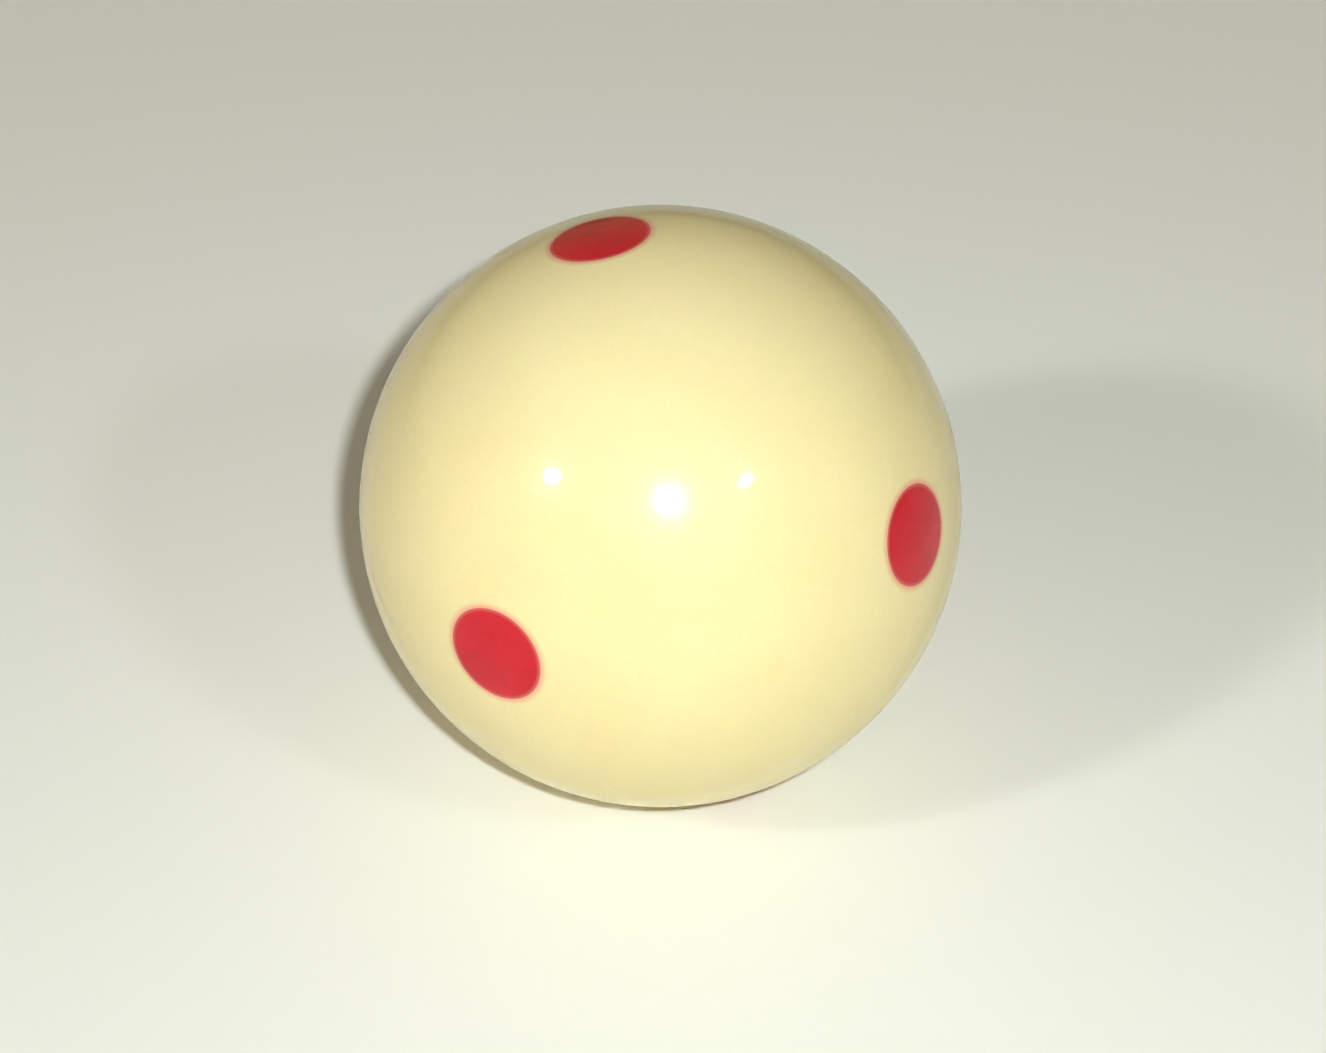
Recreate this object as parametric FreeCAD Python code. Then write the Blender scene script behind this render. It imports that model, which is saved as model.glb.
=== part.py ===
import FreeCAD, Part
import os

# A spotted cue ball for pool: one solid ball of cream resin with six red resin spots let into it.
#
# Lengths are millimetres. The origin is the ball's centre, and +Z is up with the ball lying on a level
# surface. The spots lie in opposite pairs on three axes at right angles to one another. Each spot fills
# a round pocket in the ball, and its outer face is ground and polished flush with the ball's.

BALL_DIAMETER = 57.15  # 2 1/4 in, the size of a pool ball
SPOT_DIAMETER = 9.525  # 3/8 in
SPOT_DEPTH = 5.0  # from the spot's crown to the floor of its pocket
FLOOR_FILLET = 1.0  # radius that the cutter leaves round the pocket's floor
CUTTER_OVERRUN = 2.0  # how far the pocket's cutter reaches out of the ball

# The attitude in which the ball came to rest, in degrees about Z, then Y, then X. At zero the spots'
# axes are the frame's own.
REST_YAW = -30.8
REST_PITCH = -16.1
REST_ROLL = -4.4

BALL_RADIUS = BALL_DIAMETER / 2
SPOT_RADIUS = SPOT_DIAMETER / 2
FLOOR_HEIGHT = BALL_RADIUS - SPOT_DEPTH  # of a pocket's floor, along its axis from the ball's centre

CENTRE = FreeCAD.Vector(0, 0, 0)
UP = FreeCAD.Vector(0, 0, 1)
SPOT_DIRECTIONS = {
    "top": FreeCAD.Vector(0, 0, 1),
    "bottom": FreeCAD.Vector(0, 0, -1),
    "front": FreeCAD.Vector(0, -1, 0),
    "back": FreeCAD.Vector(0, 1, 0),
    "left": FreeCAD.Vector(-1, 0, 0),
    "right": FreeCAD.Vector(1, 0, 0),
}


def is_floor_edge(edge):
    """Whether an edge of an upright cutter is the circle round its floor."""
    box = edge.BoundBox
    return box.ZLength < 1e-6 and abs(box.ZMin - FLOOR_HEIGHT) < 1e-6


def pocket_cutter(direction):
    """The round-cornered cylinder that a pocket's cutter sweeps, along one spot's axis at rest."""
    height = SPOT_DEPTH + CUTTER_OVERRUN
    cutter = Part.makeCylinder(SPOT_RADIUS, height, FreeCAD.Vector(0, 0, FLOOR_HEIGHT))
    cutter = cutter.makeFillet(FLOOR_FILLET, [e for e in cutter.Edges if is_floor_edge(e)])
    at_rest = FreeCAD.Rotation(REST_YAW, REST_PITCH, REST_ROLL)
    turn = at_rest.multiply(FreeCAD.Rotation(UP, direction))
    return cutter.transformed(FreeCAD.Placement(CENTRE, turn).toMatrix())


def spot_inlay(blank, cutter):
    """The resin that fills one pocket, ground flush with the ball."""
    return blank.common(cutter)


def ball_body(blank, cutters):
    """The cream ball with its six pockets."""
    return blank.cut(cutters)


def only_solid(shape):
    """The one solid that a boolean made."""
    if len(shape.Solids) != 1:
        raise ValueError(f"expected 1 solid and found {len(shape.Solids)}")
    return shape.Solids[0]


def build():
    """Every piece of the ball by its name."""
    blank = Part.makeSphere(BALL_RADIUS)
    cutters = {name: pocket_cutter(way) for name, way in SPOT_DIRECTIONS.items()}
    pieces = {"ball_body": ball_body(blank, list(cutters.values()))}
    for name, cutter in cutters.items():
        pieces[f"spot_inlay_{name}"] = spot_inlay(blank, cutter)
    return {name: only_solid(shape) for name, shape in pieces.items()}


os.makedirs("parts", exist_ok=True)
for node, solid in build().items():
    solid.exportStep(f"parts/{node}.step")
    print(f"{node}: {solid.Volume:.2f} mm3, {len(solid.Faces)} faces, valid {solid.isValid()}")
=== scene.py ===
import math

import bmesh
import bpy
from mathutils import Matrix, Vector


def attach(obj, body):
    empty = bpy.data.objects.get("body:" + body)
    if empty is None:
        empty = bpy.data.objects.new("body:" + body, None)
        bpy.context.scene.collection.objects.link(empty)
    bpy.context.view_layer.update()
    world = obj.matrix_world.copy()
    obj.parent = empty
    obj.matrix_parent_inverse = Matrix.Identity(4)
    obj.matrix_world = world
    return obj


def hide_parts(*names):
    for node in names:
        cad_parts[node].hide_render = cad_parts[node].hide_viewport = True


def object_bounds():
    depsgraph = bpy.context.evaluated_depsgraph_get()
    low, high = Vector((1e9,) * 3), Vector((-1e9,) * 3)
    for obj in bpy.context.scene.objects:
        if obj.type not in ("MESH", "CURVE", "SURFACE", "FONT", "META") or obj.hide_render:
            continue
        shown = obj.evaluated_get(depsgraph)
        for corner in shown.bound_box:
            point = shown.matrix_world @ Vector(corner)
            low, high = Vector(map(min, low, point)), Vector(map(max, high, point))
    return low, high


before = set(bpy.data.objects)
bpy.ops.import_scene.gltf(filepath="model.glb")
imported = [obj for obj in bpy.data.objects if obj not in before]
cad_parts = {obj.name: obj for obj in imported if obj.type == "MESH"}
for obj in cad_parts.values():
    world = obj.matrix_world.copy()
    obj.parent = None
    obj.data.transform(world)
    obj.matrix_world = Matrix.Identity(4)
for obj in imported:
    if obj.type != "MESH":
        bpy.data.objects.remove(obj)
cad_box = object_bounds()

# The looks of a spotted cue ball: a cream resin ball with six red resin spots, lying on a pale floor.
#
# Lengths are metres. The origin is the ball's centre and +Z is up. The ball's size, and the way that each
# spot faces, are read from the CAD model. The ball and its spots are built again here as closed meshes with
# the CAD solids' shape, because their materials and their gloss need a finer and more even surface.

SPOTS = ("top", "bottom", "front", "back", "left", "right")
AROUND = 144  # steps round a spot, and so round the whole ball
SKIN_RINGS = 36  # from a spot's edge out to the seam with the next spot's patch
CAP_RINGS = 14  # from a spot's crown to its edge
WALL_RINGS = 4
FILLET_RINGS = 6
FLOOR_RINGS = 5
ONE_MICRON = 1e-6


# ---------------------------------------------------------------------------------------------------------
# Sizes read from the CAD model


def plug_mesh(spot):
    """The mesh of a spot's CAD solid."""
    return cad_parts[f"spot_inlay_{spot}"].data


def facing(spot):
    """The way that a spot faces: its plug's flat floor looks the opposite way, at the ball's centre."""
    floor = min(plug_mesh(spot).polygons, key=lambda face: face.normal.dot(face.center.normalized()))
    return -floor.normal


def off_axis(point, axis):
    """A point's distance from a line through the ball's centre."""
    return (point - axis * point.dot(axis)).length


ball_radius = cad_box[1].z
axis = facing("top")
corners = [vertex.co for vertex in plug_mesh("top").vertices]
spot_radius = max(off_axis(corner, axis) for corner in corners)
floor_height = min(corner.dot(axis) for corner in corners)
floor_radius = max(off_axis(c, axis) for c in corners if c.dot(axis) < floor_height + ONE_MICRON)
fillet = spot_radius - floor_radius
spot_lean = math.asin(spot_radius / ball_radius)
floor_z = -ball_radius


# ---------------------------------------------------------------------------------------------------------
# Meshes


def turned_to(spot):
    """The turn from a patch's own frame, with its spot on +Z, to the spot's place on the ball."""
    neighbour = {
        "top": "right",
        "bottom": "right",
        "front": "top",
        "back": "top",
        "left": "front",
        "right": "front",
    }
    w = facing(spot)
    v = w.cross(facing(neighbour[spot])).normalized()
    u = v.cross(w)
    return Matrix((u, v, w)).transposed().to_4x4()


def on_ball(azimuth, lean):
    """The point of the ball's surface at an azimuth round +Z and a lean away from it."""
    across = ball_radius * math.sin(lean)
    return Vector((across * math.cos(azimuth), across * math.sin(azimuth), ball_radius * math.cos(lean)))


def skin_point(azimuth, share):
    """A point between a spot's edge (share 0) and the seam with the next spot's patch (share 1).

    Six patches meet along the edges of a cube blown up to the ball. The steps grow with the distance from
    the spot, which keeps the faces nearly square.
    """
    from_mid_side = (azimuth + math.pi / 4) % (math.pi / 2) - math.pi / 4
    seam_lean = math.atan(1 / math.cos(from_mid_side))
    near = math.log(math.tan(spot_lean / 2))
    far = math.log(math.tan(seam_lean / 2))
    return on_ball(azimuth, 2 * math.atan(math.exp(near + (far - near) * share)))


def pocket_profile():
    """A pocket's outline as (radius, height) points, from below its rim to the last ring of its floor."""
    rim_height = ball_radius * math.cos(spot_lean)
    wall_foot = floor_height + fillet
    points = []
    for step in range(1, WALL_RINGS + 1):
        points.append((spot_radius, rim_height + (wall_foot - rim_height) * step / WALL_RINGS))
    for step in range(1, FILLET_RINGS + 1):
        turn = math.pi / 2 * step / FILLET_RINGS
        points.append((floor_radius + fillet * math.cos(turn), wall_foot - fillet * math.sin(turn)))
    for step in range(1, FLOOR_RINGS):
        points.append((floor_radius * (1 - step / FLOOR_RINGS), floor_height))
    return points


def azimuths():
    """The azimuths of a ring's points, with four of them on the blown-up cube's corners."""
    return [2 * math.pi * step / AROUND for step in range(AROUND)]


def add_ring(mesh, points, turn):
    """A ring of new vertices."""
    return [mesh.verts.new(turn @ point) for point in points]


def flat_ring(radius, height):
    """The points of a level circle round +Z."""
    return [Vector((radius * math.cos(a), radius * math.sin(a), height)) for a in azimuths()]


def join_rings(mesh, rings):
    """Quads between each ring and the next."""
    for ring, following in zip(rings, rings[1:]):
        for i in range(AROUND):
            j = (i + 1) % AROUND
            mesh.faces.new((ring[i], ring[j], following[j], following[i]))


def close_ring(mesh, ring, point, turn):
    """A fan of triangles from a ring to a point inside it."""
    hub = mesh.verts.new(turn @ point)
    for i in range(AROUND):
        mesh.faces.new((ring[i], ring[(i + 1) % AROUND], hub))


def add_pocket(mesh, rim, turn):
    """A pocket's wall, fillet and floor, from the ring at its rim. A plug has the same."""
    rings = [rim] + [add_ring(mesh, flat_ring(*point), turn) for point in pocket_profile()]
    join_rings(mesh, rings)
    close_ring(mesh, rings[-1], Vector((0, 0, floor_height)), turn)


def add_patch(mesh, spot):
    """The ball's surface round one spot's pocket, and the pocket."""
    turn = turned_to(spot)
    rings = []
    for step in range(SKIN_RINGS + 1):
        rings.append(add_ring(mesh, [skin_point(a, step / SKIN_RINGS) for a in azimuths()], turn))
    join_rings(mesh, rings)
    add_pocket(mesh, rings[0], turn)


def add_plug(mesh, spot):
    """One spot: a crowned face flush with the ball, on a plug that fills the pocket."""
    turn = turned_to(spot)
    rings = []
    for step in range(CAP_RINGS):
        lean = spot_lean * (1 - step / CAP_RINGS)
        rings.append(add_ring(mesh, [on_ball(a, lean) for a in azimuths()], turn))
    join_rings(mesh, rings)
    close_ring(mesh, rings[-1], Vector((0, 0, ball_radius)), turn)
    add_pocket(mesh, rings[0], turn)


def give_true_normals(data):
    """Shades the ball's surface as a true sphere, and keeps the edge between it and the pockets sharp."""
    data.set_sharp_from_angle(angle=math.radians(30))
    normals = []
    for face in data.polygons:
        points = [data.vertices[i].co for i in face.vertices]
        outer = all(abs(point.length - ball_radius) < ONE_MICRON for point in points)
        normals += [point.normalized() if outer else Vector() for point in points]
    data.normals_split_custom_set(normals)


def make_piece(name, spots, add_part, material):
    """A closed, smooth-shaded piece made of one part for each spot."""
    mesh = bmesh.new()
    for spot in spots:
        add_part(mesh, spot)
    bmesh.ops.remove_doubles(mesh, verts=mesh.verts, dist=ONE_MICRON)
    bmesh.ops.recalc_face_normals(mesh, faces=mesh.faces)
    for face in mesh.faces:
        face.smooth = True
    data = bpy.data.meshes.new(name)
    mesh.to_mesh(data)
    mesh.free()
    give_true_normals(data)
    data.materials.append(material)
    piece = bpy.data.objects.new(name, data)
    bpy.context.scene.collection.objects.link(piece)
    return piece


# ---------------------------------------------------------------------------------------------------------
# Materials

# The wear of the polished surface. A bump's height is given in microns.
SCRATCH_WAYS = ((0.3, 0.5, 0.2), (1.2, -0.4, 0.9), (-0.6, 1.1, 2.1), (0.8, 2.0, -1.3), (2.0, 0.1, 0.6))
SCRATCH_GAP = 0.0012
SCRATCH_HALF_WIDTH = 0.00003
SCRATCH_LENGTH = 0.012
SCRATCH_BEND = 0.003
SCRATCH_DEPTH = 0.08
NICK_GAP = 0.0038
NICK_RADIUS = 0.0002
NICK_DEPTH = 1.5
RIPPLE_SIZE = 0.0016
RIPPLE_HEIGHT = 0.25

# The resins' colours: the main one, that of the clouds in it, that of its grain, and that of a spot's edge,
# where the other resin shows through.
CREAM = (0.715, 0.608, 0.290, 1)
CREAM_CLOUDS = (0.735, 0.627, 0.309, 1)
CREAM_GRAIN = (0.64, 0.534, 0.232, 1)
CREAM_EDGE = (0.70, 0.20, 0.145, 1)
RED = (0.48, 0.005, 0.014, 1)
RED_CLOUDS = (0.54, 0.008, 0.019, 1)
RED_GRAIN = (0.385, 0.004, 0.010, 1)
RED_EDGE = (0.56, 0.22, 0.16, 1)

# How far the edge's colour reaches, and how strong it is there.
CREAM_EDGE_REACH = 0.00075
CREAM_EDGE_SHARE = 0.62
RED_EDGE_REACH = 0.00045
RED_EDGE_SHARE = 0.45

# How rough the gloss is, and how much rougher where it is hazy, scratched or nicked.
ROUGHNESS = 0.22
HAZE = 0.05
SCRATCH_ROUGHNESS = 0.03
NICK_ROUGHNESS = 0.15


def add_node(tree, kind, inputs=None, **settings):
    """A new node, with its settings and its inputs, which are values or other nodes' outputs."""
    node = tree.nodes.new(kind)
    for name, value in settings.items():
        setattr(node, name, value)
    for name, value in (inputs or {}).items():
        if isinstance(value, bpy.types.NodeSocket):
            tree.links.new(value, node.inputs[name])
        else:
            node.inputs[name].default_value = value
    return node


def math_node(tree, operation, first, second=0.0):
    """The outcome of a sum on one or two numbers."""
    return add_node(tree, "ShaderNodeMath", {0: first, 1: second}, operation=operation).outputs[0]


def product(tree, first, second):
    """Two numbers multiplied."""
    return math_node(tree, "MULTIPLY", first, second)


def without_sign(tree, value):
    """A number without its sign."""
    return math_node(tree, "ABSOLUTE", value)


def ramp(tree, value, low, high, to_low=0.0, to_high=1.0):
    """A value taken smoothly from the range low to high to another range, and held at its ends."""
    inputs = {"Value": value, "From Min": low, "From Max": high, "To Min": to_low, "To Max": to_high}
    return add_node(tree, "ShaderNodeMapRange", inputs, interpolation_type="SMOOTHSTEP").outputs[0]


def mix_colours(tree, share, first, second):
    """A mix of two colours, which are colours or other nodes' outputs."""
    inputs = {0: share, 6: first, 7: second}
    return add_node(tree, "ShaderNodeMix", inputs, data_type="RGBA").outputs[2]


def noise(tree, place, size, detail=2.0, distortion=0.0):
    """Soft noise from 0 to 1, whose features are about the given size across."""
    inputs = {"Vector": place, "Scale": 1 / size, "Detail": detail, "Distortion": distortion}
    return add_node(tree, "ShaderNodeTexNoise", inputs).outputs["Fac"]


def edge_closeness(tree, place, reach):
    """1 at a spot's edge, falling to 0 at the given distance from it either way along the surface."""
    way = add_node(tree, "ShaderNodeVectorMath", {0: place}, operation="NORMALIZE").outputs[0]
    nearest = 0.0
    for spot in ("top", "front", "right"):  # each stands for its opposite too
        along = add_node(tree, "ShaderNodeVectorMath", {0: way, 1: facing(spot)}, operation="DOT_PRODUCT")
        nearest = math_node(tree, "MAXIMUM", nearest, without_sign(tree, along.outputs["Value"]))
    lean = math_node(tree, "ARCCOSINE", nearest)
    gap = without_sign(tree, math_node(tree, "SUBTRACT", lean, spot_lean))
    return ramp(tree, gap, 0.0, reach / ball_radius, 1.0, 0.0)


def hairlines(tree, place, turn):
    """Fine scratches that all run one way.

    They lie on level circles round a turned X axis, at uneven gaps and slightly bent. Each circle has its
    own stretch of noise, which breaks it into short arcs. None are made near the axis, where the circles
    are small and a line would spread.
    """
    inputs = {"Vector": place, "Rotation": turn}
    turned = add_node(tree, "ShaderNodeVectorRotate", inputs, rotation_type="EULER_XYZ").outputs[0]
    along_axis, across, over = add_node(tree, "ShaderNodeSeparateXYZ", {0: turned}).outputs
    bend = product(tree, noise(tree, turned, 0.02, detail=0.0), SCRATCH_BEND)
    inputs = {"W": math_node(tree, "ADD", along_axis, bend), "Scale": 1 / SCRATCH_GAP}
    circles = add_node(tree, "ShaderNodeTexVoronoi", inputs, voronoi_dimensions="1D")
    line = ramp(tree, circles.outputs["Distance"], 0.0, SCRATCH_HALF_WIDTH / SCRATCH_GAP, 1.0, 0.0)

    own_stretch = product(tree, circles.outputs["W"], 1000.0)  # takes neighbours far apart in the noise
    in_noise = add_node(tree, "ShaderNodeCombineXYZ", {"X": own_stretch, "Y": across, "Z": over}).outputs[0]
    arcs = ramp(tree, noise(tree, in_noise, SCRATCH_LENGTH, detail=0.0), 0.6, 0.75)
    off_pole = ramp(tree, without_sign(tree, along_axis), 0.5 * ball_radius, 0.8 * ball_radius, 1.0, 0.0)
    return product(tree, line, product(tree, arcs, off_pole))


def scratched(tree, place):
    """How scratched the surface is at each place, from 0 to 1."""
    scratches = 0.0
    for turn in SCRATCH_WAYS:
        scratches = math_node(tree, "MAXIMUM", scratches, hairlines(tree, place, turn))
    return scratches


def nicked(tree, place):
    """How deep in a nick the surface is at each place, from 0 to 1. About one cell in seven has a nick."""
    cells = add_node(tree, "ShaderNodeTexVoronoi", {"Vector": place, "Scale": 1 / NICK_GAP})
    chosen = add_node(tree, "ShaderNodeSeparateColor", {0: cells.outputs["Color"]}).outputs[0]
    nick = ramp(tree, cells.outputs["Distance"], 0.0, NICK_RADIUS / NICK_GAP, 1.0, 0.0)
    return product(tree, nick, ramp(tree, chosen, 0.86, 0.87))


def roughness(tree, place, scratches, nicks):
    """The gloss's roughness at each place."""
    rough = ramp(tree, noise(tree, place, 0.009, detail=4.0), 0.35, 0.7, 0.0, HAZE)
    rough = math_node(tree, "ADD", rough, product(tree, scratches, SCRATCH_ROUGHNESS))
    rough = math_node(tree, "ADD", rough, product(tree, nicks, NICK_ROUGHNESS))
    return math_node(tree, "ADD", rough, ROUGHNESS)


def bumps(tree, place, scratches, nicks):
    """The normal of a surface with a very low ripple, scratches and nicks."""
    height = product(tree, noise(tree, place, RIPPLE_SIZE, detail=1.0), RIPPLE_HEIGHT)
    height = math_node(tree, "SUBTRACT", height, product(tree, scratches, SCRATCH_DEPTH))
    height = math_node(tree, "SUBTRACT", height, product(tree, nicks, NICK_DEPTH))
    inputs = {"Height": height, "Strength": 1.0, "Distance": ONE_MICRON}
    return add_node(tree, "ShaderNodeBump", inputs).outputs[0]


def polished_resin(name, colour_of, depth, shares):
    """A cast resin ground and polished to a high gloss, with the fine wear of play.

    Light enters it to the given depth, times the share of that depth that red, green and blue reach.
    """
    material = bpy.data.materials.new(name)
    material.use_nodes = True
    tree = material.node_tree
    shader = tree.nodes["Principled BSDF"]
    shader.inputs["IOR"].default_value = 1.5
    shader.inputs["Specular IOR Level"].default_value = 0.16
    shader.inputs["Coat Weight"].default_value = 0.38
    shader.inputs["Coat Roughness"].default_value = 0.075
    shader.inputs["Coat IOR"].default_value = 1.4
    shader.inputs["Subsurface Weight"].default_value = 0.3
    shader.inputs["Subsurface Radius"].default_value = shares
    shader.inputs["Subsurface Scale"].default_value = depth

    place = add_node(tree, "ShaderNodeTexCoord").outputs["Object"]
    scratches = scratched(tree, place)
    nicks = nicked(tree, place)
    tree.links.new(colour_of(tree, place), shader.inputs["Base Color"])
    tree.links.new(roughness(tree, place, scratches, nicks), shader.inputs["Roughness"])
    tree.links.new(bumps(tree, place, scratches, nicks), shader.inputs["Normal"])
    return material


def cream_colour(tree, place):
    """Cream with faint clouds and grain, pinker where the red of a spot shows through its edge."""
    clouds = ramp(tree, noise(tree, place, 0.013, detail=4.0, distortion=0.6), 0.3, 0.7)
    cream = mix_colours(tree, clouds, CREAM, CREAM_CLOUDS)
    grain = ramp(tree, noise(tree, place, 0.0005, detail=2.0), 0.35, 0.65, 0.0, 0.12)
    cream = mix_colours(tree, grain, cream, CREAM_GRAIN)
    edge = product(tree, edge_closeness(tree, place, CREAM_EDGE_REACH), CREAM_EDGE_SHARE)
    return mix_colours(tree, edge, cream, CREAM_EDGE)


def red_colour(tree, place):
    """Red with faint clouds and grain, a little paler where the cream shows through its edge."""
    clouds = ramp(tree, noise(tree, place, 0.004, detail=3.0, distortion=0.5), 0.3, 0.7)
    red = mix_colours(tree, clouds, RED, RED_CLOUDS)
    grain = ramp(tree, noise(tree, place, 0.0004, detail=2.0), 0.35, 0.65, 0.0, 0.25)
    red = mix_colours(tree, grain, red, RED_GRAIN)
    edge = product(tree, edge_closeness(tree, place, RED_EDGE_REACH), RED_EDGE_SHARE)
    return mix_colours(tree, edge, red, RED_EDGE)


# ---------------------------------------------------------------------------------------------------------
# The ball


cream_resin = polished_resin("cream_resin_look", cream_colour, depth=0.0008, shares=(1.0, 0.75, 0.35))
red_resin = polished_resin("red_resin_look", red_colour, depth=0.0005, shares=(1.0, 0.2, 0.2))

ball = make_piece("cream_ball", SPOTS, add_patch, cream_resin)
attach(ball, "root")
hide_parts("ball_body")

for spot in SPOTS:
    plug = make_piece(f"red_spot_{spot}", [spot], add_plug, red_resin)
    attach(plug, "root")
    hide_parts(f"spot_inlay_{spot}")


# ---------------------------------------------------------------------------------------------------------
# Floor, camera and light

FLOOR_RADIUS = 0.3
BACKDROP_RADIUS = 2.4
BACKDROP_HEIGHT = 1.6
COVE_RADIUS = 0.8
COVE_STEPS = 16
# The painted glow of the far floor and backdrop: emission that stands in for lamp light there.
PAINTED_STAGE_GLOW = 0.45
GLOW_REACHES = (0.1, 0.6)  # distances from the ball, at which the glow starts and is full

CAMERA_ELEVATION = math.radians(39)
CAMERA_DISTANCE = 0.429
LENS = 122.5  # mm, on a sensor 36 mm wide
AIM_BELOW = 0.00194  # the camera looks this far under the ball's centre
AIM_RIGHT = 0.00022
RIGHT = Vector((1, 0, 0))
TO_CAMERA = Vector((0, -math.cos(CAMERA_ELEVATION), math.sin(CAMERA_ELEVATION)))
VIEW_UP = TO_CAMERA.cross(RIGHT)

FLASH_RIGHT = 0.0216  # the flash's place beside the camera and above it
FLASH_ABOVE = 0.0158
FLASH_BEAM = math.radians(134)  # its beam's edge is dimmer than its middle
SIDE_LAMP_DISTANCE = 1.7
HORIZON_GLOW = 0.35
OVERHEAD_GLOW = 0.02
GLOW_STARTS = (-0.14, -0.06)  # as heights of a direction, where 0 is level and 1 is straight up
GLOW_FADES = (0.2, 0.95)


def add_object(name, data):
    """A new object in the scene."""
    item = bpy.data.objects.new(name, data)
    bpy.context.scene.collection.objects.link(item)
    return item


def stage_paint_with_painted_glow():
    """A plain pale matt paint, with a painted glow that brightens it far from the ball, standing in for
    lamp light on the far floor and backdrop.
    """
    material = bpy.data.materials.new("stage_paint_with_painted_glow")
    material.use_nodes = True
    tree = material.node_tree
    shader = tree.nodes["Principled BSDF"]
    shader.inputs["Base Color"].default_value = (0.80, 0.79, 0.66, 1)
    shader.inputs["Roughness"].default_value = 0.5
    shader.inputs["Specular IOR Level"].default_value = 0.3
    shader.inputs["Emission Color"].default_value = (1.0, 0.98, 0.93, 1)
    place = add_node(tree, "ShaderNodeTexCoord").outputs["Object"]
    out = add_node(tree, "ShaderNodeVectorMath", {0: place}, operation="LENGTH").outputs["Value"]
    # Painted glow: emission that grows with the distance from the ball, in place of lamp light on the floor
    # and backdrop.
    glow = ramp(tree, out, *GLOW_REACHES, 0.0, PAINTED_STAGE_GLOW)
    tree.links.new(glow, shader.inputs["Emission Strength"])
    return material


def lathe_stage(name, profile, material):
    """A round part of the stage, from its outline's (radius, height) points above the floor."""
    mesh = bmesh.new()
    turn = Matrix.Translation((0, 0, floor_z))
    join_rings(mesh, [add_ring(mesh, flat_ring(*point), turn) for point in profile])
    bmesh.ops.remove_doubles(mesh, verts=mesh.verts, dist=ONE_MICRON)
    bmesh.ops.recalc_face_normals(mesh, faces=mesh.faces)
    for face in mesh.faces:
        face.smooth = True
    data = bpy.data.meshes.new(name)
    mesh.to_mesh(data)
    mesh.free()
    data.materials.append(material)
    item = add_object(name, data)
    return item


def make_stage():
    """A pale floor, and round it a backdrop that curves up from it, so that no horizon shows. A painted
    glow, not lamp light, brightens both away from the ball, which makes the backdrop look paler.

    The backdrop is only there to be looked at: it doesn't light the ball or show in its gloss.
    """
    paint = stage_paint_with_painted_glow()
    lathe_stage("floor", [(0.0, 0.0), (FLOOR_RADIUS / 3, 0.0), (FLOOR_RADIUS, 0.0)], paint)
    foot = BACKDROP_RADIUS - COVE_RADIUS
    profile = [(FLOOR_RADIUS, 0.0), (foot, 0.0)]
    for step in range(1, COVE_STEPS + 1):
        turn = math.pi / 2 * step / COVE_STEPS
        profile.append((foot + COVE_RADIUS * math.sin(turn), COVE_RADIUS * (1 - math.cos(turn))))
    profile.append((BACKDROP_RADIUS, BACKDROP_HEIGHT))
    backdrop = lathe_stage("backdrop", profile, paint)
    backdrop.visible_diffuse = False
    backdrop.visible_glossy = False
    backdrop.visible_shadow = False


def look(item, target, up):
    """Turns an object so that it looks at a point, with its top the given way up."""
    back = (item.location - target).normalized()
    right = up.cross(back).normalized()
    item.rotation_mode = "QUATERNION"
    item.rotation_quaternion = Matrix((right, back.cross(right), back)).transposed().to_quaternion()


def make_camera():
    """The camera, in front of the ball and above it."""
    camera = add_object("camera", bpy.data.cameras.new("camera"))
    camera.data.sensor_width = 36
    camera.data.lens = LENS
    camera.data.clip_start = 0.01
    camera.location = TO_CAMERA * CAMERA_DISTANCE
    look(camera, RIGHT * AIM_RIGHT - VIEW_UP * AIM_BELOW, VIEW_UP)
    bpy.context.scene.camera = camera


def add_lamp(name, place, up, size, watts, colour):
    """A lamp aimed at the ball, with its width and height as its size."""
    data = bpy.data.lights.new(name, "AREA")
    data.shape = "RECTANGLE"
    data.size, data.size_y = size
    data.energy = watts
    data.color = colour
    lamp = add_object(name, data)
    lamp.location = place
    look(lamp, Vector((0, 0, 0)), up)
    lamp.visible_camera = False
    return data


def side_lamp_place(right, up):
    """A far lamp's place, in a direction that goes this far right and up for each metre to the camera."""
    return (RIGHT * right + VIEW_UP * up + TO_CAMERA).normalized() * SIDE_LAMP_DISTANCE


def make_lamps():
    """A small flash close to the camera, and two larger lamps further off, to its left and right."""
    place = TO_CAMERA * CAMERA_DISTANCE + RIGHT * FLASH_RIGHT + VIEW_UP * FLASH_ABOVE
    up = VIEW_UP - RIGHT * 0.4
    flash = add_lamp("key", place, up, size=(0.016, 0.0105), watts=1.13, colour=(0.82, 0.88, 1.0))
    flash.shape = "ELLIPSE"
    flash.spread = FLASH_BEAM

    place = side_lamp_place(right=-0.872, up=0.242)
    up = VIEW_UP + RIGHT * 0.5
    add_lamp("left", place, up, size=(0.15, 0.13), watts=7.65, colour=(0.905, 0.925, 1.0))

    place = side_lamp_place(right=0.62, up=0.189)
    up = VIEW_UP * 0.6 + RIGHT * 0.8
    add_lamp("right", place, up, size=(0.10, 0.18), watts=4.0, colour=(0.74, 0.89, 1.0))


def make_world():
    """Warm light from all round, as from the walls of a room, that fades from the horizon upwards.

    It starts below the horizon, where the floor ends.
    """
    world = bpy.data.worlds.new("world")
    bpy.context.scene.world = world
    world.use_nodes = True
    tree = world.node_tree
    way = add_node(tree, "ShaderNodeTexCoord").outputs["Generated"]
    height = add_node(tree, "ShaderNodeSeparateXYZ", {0: way}).outputs["Z"]
    past_floor = ramp(tree, height, *GLOW_STARTS)
    glow = ramp(tree, height, *GLOW_FADES, HORIZON_GLOW, OVERHEAD_GLOW)
    background = tree.nodes["Background"]
    background.inputs["Color"].default_value = (1.0, 0.79, 0.40, 1)
    tree.links.new(product(tree, past_floor, glow), background.inputs["Strength"])


make_stage()
make_camera()
make_lamps()
make_world()
bpy.context.scene.view_settings.view_transform = "Standard"
